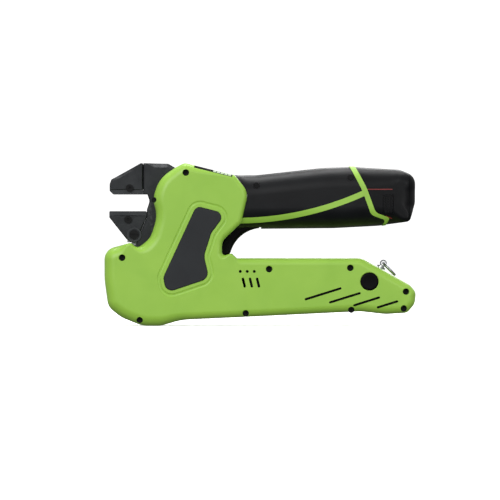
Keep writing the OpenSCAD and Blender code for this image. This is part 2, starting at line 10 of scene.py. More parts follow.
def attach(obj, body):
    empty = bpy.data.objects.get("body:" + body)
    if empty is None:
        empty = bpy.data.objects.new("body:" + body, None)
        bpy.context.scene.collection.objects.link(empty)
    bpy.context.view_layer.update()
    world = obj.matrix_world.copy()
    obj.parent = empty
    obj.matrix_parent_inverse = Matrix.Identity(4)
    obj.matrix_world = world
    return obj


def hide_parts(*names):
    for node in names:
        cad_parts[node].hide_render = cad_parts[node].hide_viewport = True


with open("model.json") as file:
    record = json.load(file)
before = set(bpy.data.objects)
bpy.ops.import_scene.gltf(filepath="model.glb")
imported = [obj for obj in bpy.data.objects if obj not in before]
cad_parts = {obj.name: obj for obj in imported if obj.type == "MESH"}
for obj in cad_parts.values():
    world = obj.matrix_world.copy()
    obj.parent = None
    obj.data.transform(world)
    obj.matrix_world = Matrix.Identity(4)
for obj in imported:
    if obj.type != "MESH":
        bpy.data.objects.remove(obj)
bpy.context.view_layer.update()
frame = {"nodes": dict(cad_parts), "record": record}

# Sizes below are in millimetres, in the frame's axes; meshes are made in metres.
MM = 0.001
BODY_HALF = 27.0
GRIP_HALF = 22.0
WALL = 2.5
EDGE_R = 10.5
JAW_HALF = 9.0
BOSS_R = 4.2
SHANK_R = 1.6

# Corners [x, z, radius] of the green body's side outline
BODY = [
    [-80, 149.5, 20], [-71, 154, 8], [-24, 142.4, 8], [-11, 126, 16], [-18, 97, 8], [-36, 80, 12],
    [-36, 66, 3], [-27, 68.5, 2], [-22, 64, 3], [96, 64, 14], [141, 39, 8], [147, 32, 8], [146, 21, 10],
    [139, 12.4, 8], [118, 11.2, 30], [95, 13.8, 40], [-20, 8.2, 80], [-74, 5.8, 60], [-94, 0, 30],
    [-111, 0, 30], [-131, 8, 30], [-143.5, 18, 14], [-147, 44, 60], [-147, 72, 12], [-122, 78.6, 3],
    [-116, 73, 5], [-103.5, 83, 20], [-97, 104, 28], [-101.5, 120, 24], [-95, 139, 30],
]
# Corners of the side panel
PANEL = [
    [-60, 113, 6], [-32.5, 106, 6], [-46, 88, 14], [-53, 66, 14], [-48, 45, 8], [-88.5, 31.5, 7],
    [-91, 46, 8],
]
# Screw places [x, z]
BODY_SCREWS = [
    [-70, 144.6], [-130, 64.4], [-113.5, 5.6], [8.5, 53.6], [85, 54.8], [137.5, 32.5], [135.5, 16.5],
    [86, 15.2], [-13.5, 12],
]
GRIP_SCREWS = [[-3.3, 132.5], [85.5, 140]]
# Centre line of the collar between handle and battery, and the arc of the handle stripe
COLLAR = [[78, 166, 1], [88, 149.5, 10], [98.5, 129, 60], [107, 105.8, 8], [120.5, 101, 2], [113, 86, 1]]
STRIPE_CENTRE = (-21.7, 388.4)
STRIPE_R = 289.0


# ---------------------------------------------------------------- outlines
def unit(v):
    return v / np.linalg.norm(v)


def corner_arc(before, corner, after, step):
    """Points of the arc that rounds one corner [x, z, radius]."""
    p = np.array(corner[:2], float)
    u = unit(np.array(before[:2], float) - p)
    v = unit(np.array(after[:2], float) - p)
    inner = math.acos(max(-1.0, min(1.0, float(u @ v))))
    centre = p + unit(u + v) * corner[2] / math.sin(inner / 2)
    start = p + u * corner[2] / math.tan(inner / 2) - centre
    turn = math.pi - inner
    side = 1.0 if u[1] * v[0] - u[0] * v[1] > 0 else -1.0
    count = max(1, math.ceil(math.degrees(turn) / step))
    points = []
    for i in range(count + 1):
        t = side * turn * i / count
        c, s = math.cos(t), math.sin(t)
        points.append(centre + np.array([start[0] * c - start[1] * s, start[0] * s + start[1] * c]))
    return points


def rounded(corners, step=6):
    count = len(corners)
    points = []
    for i in range(count):
        points += corner_arc(corners[i - 1], corners[i], corners[(i + 1) % count], step)
    return np.array(points)


def bent(corners, step=6):
    points = [np.array(corners[0][:2], float)]
    for i in range(1, len(corners) - 1):
        points += corner_arc(corners[i - 1], corners[i], corners[i + 1], step)
    return np.array(points + [np.array(corners[-1][:2], float)])


def spaced(points, gap, closed=True):
    """The same outline with extra points, so that no step is longer than gap."""
    out = []
    last = len(points) if closed else len(points) - 1
    for i in range(last):
        a, b = points[i], points[(i + 1) % len(points)]
        count = max(1, math.ceil(np.linalg.norm(b - a) / gap))
        out += [a + (b - a) * k / count for k in range(count)]
    if not closed:
        out.append(points[-1])
    return np.array(out)


def signed_area(points):
    x, z = points[:, 0], points[:, 1]
    return 0.5 * float(np.sum(x * np.roll(z, -1) - np.roll(x, -1) * z))


def inward(points):
    """Unit normals that point into an anticlockwise outline."""
    ahead = np.roll(points, -1, 0) - points
    behind = points - np.roll(points, 1, 0)
    t = ahead / np.linalg.norm(ahead, axis=1)[:, None] + behind / np.linalg.norm(behind, axis=1)[:, None]
    t /= np.linalg.norm(t, axis=1)[:, None]
    return np.stack([-t[:, 1], t[:, 0]], 1)


def edge_radii(points, normals, wanted, reach=9.0):
    """How far an edge can be rounded at each point before the rounding meets another side, kept smooth."""
    delta = points[None, :, :] - points[:, None, :]
    along = 2 * np.einsum("ijk,ik->ij", delta, normals)
    square = np.einsum("ijk,ijk->ij", delta, delta)
    limit = np.where(along > 1e-6, square / np.maximum(along, 1e-6), 1e9)
    room = np.minimum(limit.min(axis=1) * 0.92, wanted)
    step = np.linalg.norm(np.roll(points, -1, 0) - points, axis=1)
    place = np.concatenate([[0], np.cumsum(step)])
    total, place = place[-1], place[:-1]
    away = np.abs(place[None, :] - place[:, None])
    away = np.minimum(away, total - away)
    low = np.where(away < reach * 0.6, room[None, :], 1e9).min(axis=1)
    weight = np.exp(-((away / (reach * 0.35)) ** 2)) * step[None, :]
    return (weight @ low) / weight.sum(axis=1)


# ---------------------------------------------------------------- meshes
def mesh_object(name, verts, faces):
    mesh = bpy.data.meshes.new(name)
    mesh.from_pydata([tuple(np.array(v) * MM) for v in verts], [], faces)
    bm = bmesh.new()
    bm.from_mesh(mesh)
    bmesh.ops.remove_doubles(bm, verts=bm.verts, dist=0.002 * MM)
    bmesh.ops.recalc_face_normals(bm, faces=bm.faces)
    bm.to_mesh(mesh)
    bm.free()
    obj = bpy.data.objects.new(name, mesh)
    bpy.context.scene.collection.objects.link(obj)
    return obj


def stack(rings, cap_start=True, cap_end=True):
    """Vertices and faces of a closed skin through rings that all have the same number of points."""
    n = len(rings[0])
    verts = [v for ring in rings for v in ring]
    faces = []
    for k in range(len(rings) - 1):
        for i in range(n):
            j = (i + 1) % n
            faces.append((k * n + i, k * n + j, (k + 1) * n + j, (k + 1) * n + i))
    if cap_start:
        faces.append(tuple(range(n - 1, -1, -1)))
    if cap_end:
        faces.append(tuple(range((len(rings) - 1) * n, len(rings) * n)))
    return verts, faces


def edge_profile(kind, steps):
    """(inset, rise) pairs from the straight wall to the flat face, for an edge of size 1."""
    if kind == "chamfer":
        return [(0.0, 0.0), (1.0, 1.0)]
    return [(1 - math.cos(a), math.sin(a)) for a in np.linspace(0, math.pi / 2, steps + 1)]


def plate(name, outline, y_back, y_face, edge, steps=8, kind="round", gap=2.5):
    """A plate with a flat back and a rounded or chamfered edge round its face.

    edge is a size or a function of (x, z).
    """
    points = spaced(outline, gap)
    if signed_area(points) < 0:
        points = points[::-1]
    normals = inward(points)
    wanted = np.array([edge(*p) for p in points]) if callable(edge) else np.full(len(points), float(edge))
    radii = np.minimum(edge_radii(points, normals, float(wanted.max())), wanted)
    out = 1 if y_face > y_back else -1
    rings = [[(p[0], y_back, p[1]) for p in points]]
    for inset_k, rise_k in edge_profile(kind, steps):
        moved = points + normals * (radii * inset_k)[:, None]
        heights = abs(y_face - y_back) - radii + radii * rise_k
        rings.append([(p[0], y_back + out * h, p[1]) for p, h in zip(moved, heights)])
    return mesh_object(name, *stack(rings))


def double_plate(name, outline, half, edge, **options):
    """A plate rounded on both faces."""
    left = plate(name, outline, 0, -half, edge, **options)
    right = plate(name + "_b", outline, 0, half, edge, **options)
    return joined(name, [left, right], weld=True)


def prism(name, outline, y0, y1):
    rings = [[(p[0], y, p[1]) for p in outline] for y in (y0, y1)]
    return mesh_object(name, *stack(rings))


def joined(name, objects, weld=False):
    """One object from several; weld also removes the faces they share."""
    bm = bmesh.new()
    for obj in objects:
        bm.from_mesh(obj.data)
    if weld:
        bmesh.ops.remove_doubles(bm, verts=bm.verts, dist=0.002 * MM)
        inner = [f for f in bm.faces if all(abs(v.co.y) < 0.001 * MM for v in f.verts)]
        bmesh.ops.delete(bm, geom=inner, context="FACES")
        bmesh.ops.recalc_face_normals(bm, faces=bm.faces)
    mesh = bpy.data.meshes.new(name)
    bm.to_mesh(mesh)
    bm.free()
    for obj in objects:
        bpy.data.objects.remove(obj)
    out = bpy.data.objects.new(name, mesh)
    bpy.context.scene.collection.objects.link(out)
    return out


def lathe(name, profile, place, segments=48):
    """A turned piece on an axis along Y: profile is (radius, height) pairs, from a point [x, y, z]."""
    rings = []
    for r, h in profile:
        ring = []
        for i in range(segments):
            a = 2 * math.pi * i / segments
            c, s = r * math.cos(a), r * math.sin(a)
            ring.append((place[0] + c, place[1] + h, place[2] + s))
        rings.append(ring)
    return mesh_object(name, *stack(rings))


def box(name, x0, x1, y0, y1, z0, z1):
    rings = [[(x0, y, z0), (x1, y, z0), (x1, y, z1), (x0, y, z1)] for y in (y0, y1)]
    return mesh_object(name, *stack(rings))


def tube_loop(name, outline, y, radius, sides=10):
    """A closed ring of round section that follows an outline at height y."""
    points = outline if signed_area(outline) > 0 else outline[::-1]
    normals = inward(points)
    verts, faces = [], []
    n = len(points)
    for p, m in zip(points, normals):
        for k in range(sides):
            a = 2 * math.pi * k / sides
            q = p + m * radius * math.cos(a)
            verts.append((q[0], y + radius * math.sin(a), q[1]))
    for i in range(n):
        for k in range(sides):
            i2, k2 = (i + 1) % n, (k + 1) % sides
            faces.append((i * sides + k, i2 * sides + k, i2 * sides + k2, i * sides + k2))
    return mesh_object(name, verts, faces)


def shape_with(obj, tool, operation="DIFFERENCE", keep_tool=False):
    """Applies one boolean to a piece."""
    mod = obj.modifiers.new("cut", "BOOLEAN")
    mod.operation = operation
    mod.solver = "EXACT"
    mod.object = tool
    graph = bpy.context.evaluated_depsgraph_get()
    mesh = bpy.data.meshes.new_from_object(obj.evaluated_get(graph))
    obj.modifiers.clear()
    old = obj.data
    obj.data = mesh
    bpy.data.meshes.remove(old)
    mesh.name = obj.name
    if not keep_tool:
        bpy.data.objects.remove(tool)
    return obj


def tidy(obj):
    """Drops slivers that a boolean leaves."""
    bm = bmesh.new()
    bm.from_mesh(obj.data)
    bmesh.ops.remove_doubles(bm, verts=bm.verts, dist=0.01 * MM)
    bmesh.ops.dissolve_degenerate(bm, edges=bm.edges, dist=0.005 * MM)
    loose = [v for v in bm.verts if not v.link_faces]
    bmesh.ops.delete(bm, geom=loose, context="VERTS")
    bm.to_mesh(obj.data)
    bm.free()


def smooth(obj, angle=32, bevel=0.0, segments=2):
    """Smooth shading with sharp edges kept, and small rounded edges if bevel is given."""
    obj.data.shade_smooth()
    obj.data.set_sharp_from_angle(angle=math.radians(angle))
    if bevel:
        mod = obj.modifiers.new("edges", "BEVEL")
        mod.width = bevel * MM
        mod.segments = segments
        mod.limit_method = "ANGLE"
        mod.angle_limit = math.radians(angle)
        mod.harden_normals = True
    else:
        obj.modifiers.new("normals", "WEIGHTED_NORMAL").keep_sharp = True


# ---------------------------------------------------------------- body halves
def screw_cutter(x, z, y_out, depth, radius, mouth=0.5):
    """A counterbore with a small rounded mouth, cut from the side."""
    s = 1 if y_out > 0 else -1
    profile = [(radius, s * -depth), (radius, s * -mouth), (radius + 0.15 * mouth, s * -0.5 * mouth),
               (radius + mouth, 0), (radius + mouth, s * 12)]
    return lathe("cutter", profile, (x, y_out, z), segments=32)


def slot_cutter(x0, z0, x1, z1, width, y0, y1):
    """A slot with round ends through the wall."""
    a, b = np.array([x0, z0], float), np.array([x1, z1], float)
    d = unit(b - a)
    n = np.array([-d[1], d[0]])
    points = []
    for centre, start in ((b, -90), (a, 90)):
        for k in range(9):
            t = math.radians(start + 180 * k / 8)
            points.append(centre + (d * math.cos(t) + n * math.sin(t)) * width / 2)
    return prism("cutter", points, y0, y1)


def vent_cutters(side):
    y0, y1 = side * (BODY_HALF + 2), side * (BODY_HALF - 6)
    tools = []
    for i in range(3):
        tools.append(lathe("cutter", [(1.4, 0), (1.4, side * -8)], (-18.7 + 6.6 * i, y0, 51.5), segments=20))
        tools.append(slot_cutter(-16.2 + 6.7 * i, 44.5, -14.5 + 6.7 * i, 37.5, 2.4, y0, y1))
    for x0, z0, x1, z1 in (
            (43, 25.3, 75.5, 35.5), (66, 22.4, 93.7, 31), (88.7, 19.6, 112, 27), (111, 17.7, 129, 23.3)):
        tools.append(slot_cutter(x0, z0, x1, z1, 2.2, y0, y1))
    return tools


def grown(points, by):
    pts = points if signed_area(points) > 0 else points[::-1]
    return pts - inward(pts) * by


def shrunk(points, by):
    """The outline moved inward by a distance, without the folds that tight corners would make."""
    pts = points if signed_area(points) > 0 else points[::-1]
    moved = pts + inward(pts) * by
    a, b = pts, np.roll(pts, -1, 0)
    run = b - a
    kept = []
    for q in moved:
        along = np.einsum("ij,ij->i", q - a, run)
        t = np.clip(along / np.maximum(np.einsum("ij,ij->i", run, run), 1e-12), 0, 1)
        near = np.linalg.norm(a + run * t[:, None] - q, axis=1).min()
        if near > by - 0.02:
            kept.append(q)
    return np.array(kept)


def body_edge(x, z):
    """Edge radius of the body: broad at the front, tighter along the tube and round the finger gap."""
    front = ramp(-x, 60, 110)
    gap = ramp(x, -60, -30) * ramp(z, 60, 72)
    return 7.5 + (EDGE_R - 7.5) * front - 3.0 * gap


def ramp(value, low, high):
    t = max(0.0, min(1.0, (value - low) / (high - low)))
    return t * t * (3 - 2 * t)


def body_skin(name, side, outline, grow=0.0):
    """Half of the body's outer skin; its edge radii change slowly along the outline."""
    return plate(name, outline, 0, side * (BODY_HALF + grow), body_edge, steps=10, gap=2.0)


def boss_tools(places, side, half):
    """Cylinders round the screws; taken out of the hollow they stay behind as bosses."""
    profile = [(BOSS_R, -side * 3), (BOSS_R, side * (half + 3))]
    return [lathe("boss", profile, (x, 0, z), segments=32) for x, z in places]


def shank_tools(places, side, half):
    """Holes for the screws' shanks, from the counterbore to the middle of the tool."""
    profile = [(SHANK_R, -side), (SHANK_R, side * (half - 5))]
    return [lathe("shank", profile, (x, 0, z), segments=16) for x, z in places]


def body_half(side):
    outline = spaced(rounded(BODY, 5), 2.0)
    shell = body_skin("shell_left" if side < 0 else "shell_right", side, outline)
    hollow = plate("hollow", shrunk(outline, WALL), side * -2, side * (BODY_HALF - WALL),
                   lambda x, z: body_edge(x, z) - WALL + 1, steps=6, gap=3.0)
    shape_with(hollow, joined("bosses", boss_tools(BODY_SCREWS, side, BODY_HALF)))
    floor = box("cutter", -21, 21.5, -30, 30, -4.9, -1.8)
    place_display(floor)
    shape_with(hollow, floor)
    shape_with(shell, hollow)
    y_face = side * BODY_HALF
    panel = spaced(rounded(PANEL, 8), 3)
    tools = vent_cutters(side)
    tools.append(prism("cutter", grown(panel, 0.3), y_face + side * 3, y_face - side * 1.2))
    tools.append(tube_loop("cutter", grown(panel, 4.6), y_face + side * 1.5, 2.3, 14))
    if side < 0:
        for x, z in BODY_SCREWS:
            tools.append(screw_cutter(x, z, y_face, 5.9, 3.1))
        tools.append(screw_cutter(103, 42, y_face, 4.0, 8.6, 0.6))
    shape_with(shell, joined("cutters", tools))
    shape_with(shell, joined("shanks", shank_tools(BODY_SCREWS, side, BODY_HALF)))
    shape_with(shell, prism("cutter", grown(panel, 0.3), y_face + side * 3, y_face - side * 1.2))
    # openings for the steel head, the trigger, the leads and the display
    for x0, x1, half, z0, z1 in (
            (-130, -70, JAW_HALF + 0.3, 66, 160), (-60, -10, 9.6, 64.3, 106), (-30, 0, 8, 98, 124)):
        shape_with(shell, box("cutter", x0, x1, -half, half, z0, z1))
    shape_with(shell, lathe("cutter", [(2.8, -30), (2.8, 30)], (-100.5, 0, 119), segments=24))
    display = box("cutter", -18.3, 18.8, -30, 30, -2.35, 4)
    place_display(display)
    shape_with(shell, display)
    tidy(shell)
    return shell


def place_display(obj):
    turn = Matrix.Translation((-44 * MM, 0, 147.3 * MM)) @ Matrix.Rotation(math.radians(13.86), 4, "Y")
    obj.data.transform(turn)
    obj.matrix_world = Matrix.Identity(4)


# ---------------------------------------------------------------- materials
def material(name, base, other, rough, metallic=0.0, grain=900.0, grain_bump=0.12, patch=28.0, rough_span=0.12,
             scratch=0.0, edge_wear_and_highlight=None, coat=0.0, coat_rough=0.2, specular=0.5, ior=1.5):
    """A surface with fine grain, uneven gloss, soft colour mottling and, if asked, scratches and lighter sharp
    edges, partly worn steel and partly a painted highlight.

    base and other are linear colours that the mottling moves between; the edge colour goes on sharp edges,
    where it stands for worn steel and for a painted highlight.
    """
    mat = bpy.data.materials.new(name)
    mat.use_nodes = True
    tree = mat.node_tree
    shader = tree.nodes["Principled BSDF"]
    link = tree.links.new
    place = tree.nodes.new("ShaderNodeTexCoord").outputs["Object"]

    def noise(scale, detail, distortion=0.0, vector=place):
        node = tree.nodes.new("ShaderNodeTexNoise")
        node.inputs["Scale"].default_value = scale
        node.inputs["Detail"].default_value = detail
        node.inputs["Distortion"].default_value = distortion
        link(vector, node.inputs["Vector"])
        return node.outputs["Fac"]

    def spread(value, low, high, to_low, to_high):
        node = tree.nodes.new("ShaderNodeMapRange")
        for key, number in (("From Min", low), ("From Max", high), ("To Min", to_low), ("To Max", to_high)):
            node.inputs[key].default_value = number
        link(value, node.inputs["Value"])
        return node.outputs["Result"]

    def blend(factor, first, second):
        node = tree.nodes.new("ShaderNodeMix")
        node.data_type = "RGBA"
        link(factor, node.inputs["Factor"])
        for socket, colour in ((node.inputs[6], first), (node.inputs[7], second)):
            if isinstance(colour, tuple):
                socket.default_value = (*colour, 1)
            else:
                link(colour, socket)
        return node.outputs[2]

    colour = blend(spread(noise(patch, 3, 0.6), 0.35, 0.65, 0, 1), base, other)
    dull, shiny = min(1.0, rough + rough_span / 2), max(0.03, rough - rough_span / 2)
    gloss = spread(noise(patch * 2.3, 4, 0.3), 0.3, 0.7, shiny, dull)
    height = noise(grain, 5)
    bump = tree.nodes.new("ShaderNodeBump")
    bump.inputs["Strength"].default_value = grain_bump
    bump.inputs["Distance"].default_value = 0.0002
    link(height, bump.inputs["Height"])
    normal = bump.outputs["Normal"]
    if scratch:
        stretch = tree.nodes.new("ShaderNodeMapping")
        stretch.inputs["Scale"].default_value = (60, 60, 1500)
        stretch.inputs["Rotation"].default_value = (0.2, 0.3, 0)
        link(place, stretch.inputs["Vector"])
        lines = tree.nodes.new("ShaderNodeBump")
        lines.inputs["Strength"].default_value = scratch
        lines.inputs["Distance"].default_value = 0.0001
        link(noise(1.0, 3, 0, stretch.outputs["Vector"]), lines.inputs["Height"])
        link(normal, lines.inputs["Normal"])
        normal = lines.outputs["Normal"]
    # Sharp edges get a lighter colour: partly worn steel, partly a painted edge highlight.
    if edge_wear_and_highlight:
        edge = tree.nodes.new("ShaderNodeNewGeometry").outputs["Pointiness"]
        edge_wear_and_highlight_mask = tree.nodes.new("ShaderNodeMath")
        edge_wear_and_highlight_mask.operation = "MULTIPLY"
        link(spread(edge, 0.53, 0.6, 0, 1), edge_wear_and_highlight_mask.inputs[0])
        link(spread(noise(420, 4, 0.4), 0.42, 0.62, 0, 1), edge_wear_and_highlight_mask.inputs[1])
        colour = blend(edge_wear_and_highlight_mask.outputs[0], colour, edge_wear_and_highlight)
    link(colour, shader.inputs["Base Color"])
    link(gloss, shader.inputs["Roughness"])
    link(normal, shader.inputs["Normal"])
    shader.inputs["Metallic"].default_value = metallic
    shader.inputs["Coat Weight"].default_value = coat
    shader.inputs["Coat Roughness"].default_value = coat_rough
    shader.inputs["Specular IOR Level"].default_value = specular
    shader.inputs["IOR"].default_value = ior
    return mat


MATERIALS = {
    "green_shell": material(
        "green_shell", (0.340, 0.610, 0.070), (0.310, 0.575, 0.062),
        0.40, grain=1400, grain_bump=0.10, rough_span=0.10),
    "green_trim": material(
        "green_trim", (0.345, 0.615, 0.075), (0.315, 0.575, 0.066),
        0.48, grain=1500, grain_bump=0.2),
    "black_grip": material(
        "black_grip", (0.0045, 0.0052, 0.0065), (0.0033, 0.0038, 0.0048),
        0.40, grain=2200, grain_bump=0.20, rough_span=0.10, specular=0.22),
    "dark_panel": material(
        "dark_panel", (0.022, 0.025, 0.028), (0.018, 0.020, 0.023),
        0.50, grain=1800, grain_bump=0.12, specular=0.25),
    "black_plastic": material(
        "black_plastic", (0.0012, 0.0012, 0.0014), (0.0009, 0.0009, 0.0011),
        0.50, grain=1500, grain_bump=0.15, specular=0.10),
    "display": material(
        "display", (0.010, 0.010, 0.012), (0.007, 0.007, 0.009),
        0.14, grain=500, grain_bump=0.02, rough_span=0.05, coat=0.6, coat_rough=0.08),
    "light_strip": material(
        "light_strip", (0.80, 0.83, 0.80), (0.72, 0.76, 0.73),
        0.30, grain=900, grain_bump=0.05, coat=0.4),
    "battery_plastic": material(
        "battery_plastic", (0.0036, 0.0042, 0.0052), (0.0028, 0.0032, 0.0040),
        0.42, grain=1900, grain_bump=0.18, specular=0.17),
    "red_seam": material(
        "red_seam", (0.22, 0.012, 0.010), (0.16, 0.008, 0.007),
        0.45, grain=1500, grain_bump=0.1),
    "dark_steel": material(
        "dark_steel", (0.023, 0.0255, 0.028), (0.015, 0.017, 0.0195),
        0.42, metallic=0.5, grain=1100, grain_bump=0.30, patch=60, rough_span=0.22, scratch=0.10,
        # lighter sharp edges: worn steel plus a painted edge highlight
        edge_wear_and_highlight=(0.055, 0.058, 0.062)),
    "die_steel": material(
        "die_steel", (0.036, 0.039, 0.043), (0.027, 0.030, 0.033),
        0.42, metallic=0.5, grain=1300, grain_bump=0.2, patch=70, rough_span=0.2, scratch=0.08),
    "screw_steel": material(
        "screw_steel", (0.0060, 0.0063, 0.0068), (0.0045, 0.0047, 0.0050),
        0.50, metallic=0.2, grain=1500, grain_bump=0.15, patch=120, rough_span=0.2, specular=0.2),
    "bright_steel": material(
        "bright_steel", (0.47, 0.48, 0.49), (0.39, 0.40, 0.41),
        0.28, metallic=1.0, grain=1500, grain_bump=0.08, patch=90, rough_span=0.16, scratch=0.15),
    "cast_frame": material(
        "cast_frame", (0.45, 0.46, 0.47), (0.38, 0.39, 0.40),
        0.50, metallic=0.9, grain=900, grain_bump=0.45, patch=60, rough_span=0.2),
    "brass_parts": material(
        "brass_parts", (0.62, 0.44, 0.17), (0.52, 0.36, 0.13),
        0.30, metallic=1.0, grain=1300, grain_bump=0.1, patch=80, rough_span=0.18, scratch=0.2),
    "motor_steel": material(
        "motor_steel", (0.50, 0.50, 0.51), (0.42, 0.42, 0.43),
        0.28, metallic=1.0, grain=1200, grain_bump=0.08, patch=60, rough_span=0.18, scratch=0.12),
    "copper_winding": material(
        "copper_winding", (0.46, 0.17, 0.06), (0.34, 0.11, 0.035),
        0.36, metallic=0.6, grain=1500, grain_bump=0.4, patch=200, scratch=0.6),
    "board": material(
        "board", (0.012, 0.12, 0.035), (0.008, 0.09, 0.028),
        0.35, grain=1500, grain_bump=0.1, patch=200),
    "lead_skin": material(
        "lead_skin", (0.38, 0.012, 0.010), (0.30, 0.008, 0.008),
        0.45, grain=1500, grain_bump=0.1),
    "cell_wrap": material(
        "cell_wrap", (0.012, 0.17, 0.07), (0.010, 0.14, 0.055),
        0.30, grain=900, grain_bump=0.06, coat=0.3),
}


# ---------------------------------------------------------------- placing pieces
def dress(obj, body, slot, node=None, angle=28, bevel=0.0):
    """Smooths a new piece, gives it its material and makes it ride on its body.

    node is the CAD node it replaces.
    """
    obj.data.materials.clear()
    obj.data.materials.append(MATERIALS[slot])
    smooth(obj, angle, bevel)
    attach(obj, body)
    if node:
        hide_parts(node)
    return obj


def build_body():
    for side in (-1, 1):
        hand = "left" if side < 0 else "right"
        dress(body_half(side), "housing", "green_shell", "housing_" + hand)
        outline = rounded(PANEL, 8)
        y_back, y_face = side * (BODY_HALF - 1.15), side * (BODY_HALF + 0.35)
        face = plate("label_panel_" + hand, outline, y_back, y_face, 0.8, steps=5, gap=1.6)
        dress(face, "housing", "dark_panel", "panel_" + hand)


# ---------------------------------------------------------------- handle and battery
GRIP = [
    [-40, 142.8, 1], [-3, 142.8, 40], [60, 149.8, 60], [90, 150.8, 60], [132, 148, 16], [147, 142, 12],
    [147, 116, 20], [141.5, 98.6, 5], [112, 94.6, 40], [70, 92.4, 60], [-40, 91.4, 1],
]


def grip_edge(x, z):
    """Edge radius of the handle: full along its length, smaller at the rear end."""
    return 20.0 - 6.0 * ramp(x, 96, 147)


def grip_skin(name, side, inset, y_back=0.0):
    outline = spaced(rounded(GRIP, 5), 2.0)
    if inset > 0:
        outline = shrunk(outline, inset)
    elif inset < 0:
        outline = grown(outline, -inset)
    return plate(name, outline, y_back, side * (GRIP_HALF - inset),
                 lambda x, z: grip_edge(x, z) - inset, steps=14, gap=2.2)


def behind_collar(grow):
    line = [p + np.array([grow, 0]) for p in bent(COLLAR, 5)]
    return line + [np.array([220.0, 86.0]), np.array([220.0, 166.0])]


def ahead_of_collar(grow):
    line = [p + np.array([grow, 0]) for p in bent(COLLAR, 5)]
    return [np.array([-90.0, 166.0])] + line + [np.array([-90.0, 86.0])]


def grip_half(side):
    hand = "left" if side < 0 else "right"
    skin = grip_skin("handle_" + hand, side, 0)
    hollow = grip_skin("hollow", side, WALL, side * -2)
    shape_with(hollow, joined("bosses", boss_tools(GRIP_SCREWS[:1], side, GRIP_HALF)))
    shape_with(skin, hollow)
    outline = spaced(rounded(BODY, 5), 2.0)
    shape_with(skin, body_skin("cutter", side, grown(outline, 0.1), 0.1))
    shape_with(skin, prism("cutter", behind_collar(0), -30, 30))
    shape_with(skin, box("cutter", -40, 1, -9.6, 9.6, 90, 98))
    sinks = (5.8, 4.3)
    tools = [screw_cutter(x, z, side * GRIP_HALF, sink, 3.2, 0.3) for (x, z), sink in zip(GRIP_SCREWS, sinks)]
    shape_with(skin, joined("cutters", tools))
    shape_with(skin, joined("shanks", shank_tools(GRIP_SCREWS[:1], side, GRIP_HALF)))
    tidy(skin)
    return dress(skin, "housing", "black_grip", "grip_" + hand, angle=30)


def stripe_outline():
    """Band along the handle, from inside the green body to the collar."""
    centre = np.array(STRIPE_CENTRE)
    lower, upper = [], []
    for x in np.linspace(-26, 108, 60):
        for radius, line in ((STRIPE_R + 2.65, lower), (STRIPE_R - 2.65, upper)):
            drop = math.sqrt(radius * radius - (x - centre[0]) ** 2)
            line.append(np.array([x, centre[1] - drop]))
    return lower + upper[::-1]


def collar_outline(half_width):
    line = bent(COLLAR, 5)
    left = [p - np.array([half_width, half_width / 2]) for p in line]
    right = [p + np.array([half_width, half_width / 2]) for p in line]
    return left + right[::-1]


def green_band(side):
    """The raised stripe and collar of one half."""
    pieces = []
    for outline in (stripe_outline(), collar_outline(2.15)):
        band = grip_skin("band", side, -0.5)
        shape_with(band, prism("cutter", outline, -40, 40), "INTERSECT")
        pieces.append(band)
    band, collar = pieces
    shape_with(band, prism("cutter", behind_collar(0), -40, 40))
    shape_with(band, collar, "UNION")
    shape_with(band, grip_skin("hollow", side, 1.2, side * -2))
    outline = spaced(rounded(BODY, 5), 2.0)
    shape_with(band, body_skin("cutter", side, shrunk(outline, 0.4), -0.4))
    tidy(band)
    return band


def build_shade_screens():
    """Black sheets behind the vents as painted shade, standing for the shaded inside of the tube so that it
    stays hidden.
    """
    for side in (-1, 1):
        hand = "left" if side < 0 else "right"
        y0, y1 = sorted((side * 22.6, side * 23.8))
        rear = [(38, 21.5), (134, 15.5), (134, 30), (88, 34.5), (38, 38)]
        parts = [box("s", -24, 4, y0, y1, 33, 55), prism("s", rear, y0, y1)]
        dress(joined("vent_shade_screen_" + hand, parts), "housing", "black_plastic", bevel=0.3)


def build_handle():
    for side in (-1, 1):
        grip_half(side)
    bands = [green_band(side) for side in (-1, 1)]
    dress(joined("handle_band", bands), "housing", "green_trim", "handle_stripe", angle=30, bevel=0.35)


def rounded_bar(name, x0, x1, half_y, z0, z1, radius, nose=1.5):
    """A bar along X with a rounded rectangular section and a chamfered front end."""
    rings = []
    for x, inset in ((x0, nose), (x0 + nose, 0), (x1, 0)):
        ring = []
        for cy, cz, start in ((1, 1, 0), (-1, 1, 90), (-1, -1, 180), (1, -1, 270)):
            for k in range(9):
                a = math.radians(start + 90 * k / 8)
                ring.append((x, cy * (half_y - radius) + (radius - inset) * math.cos(a),
                             (z1 - radius if cz > 0 else z0 + radius) + (radius - inset) * math.sin(a)))
        rings.append(ring)
    return mesh_object(name, *stack(rings))


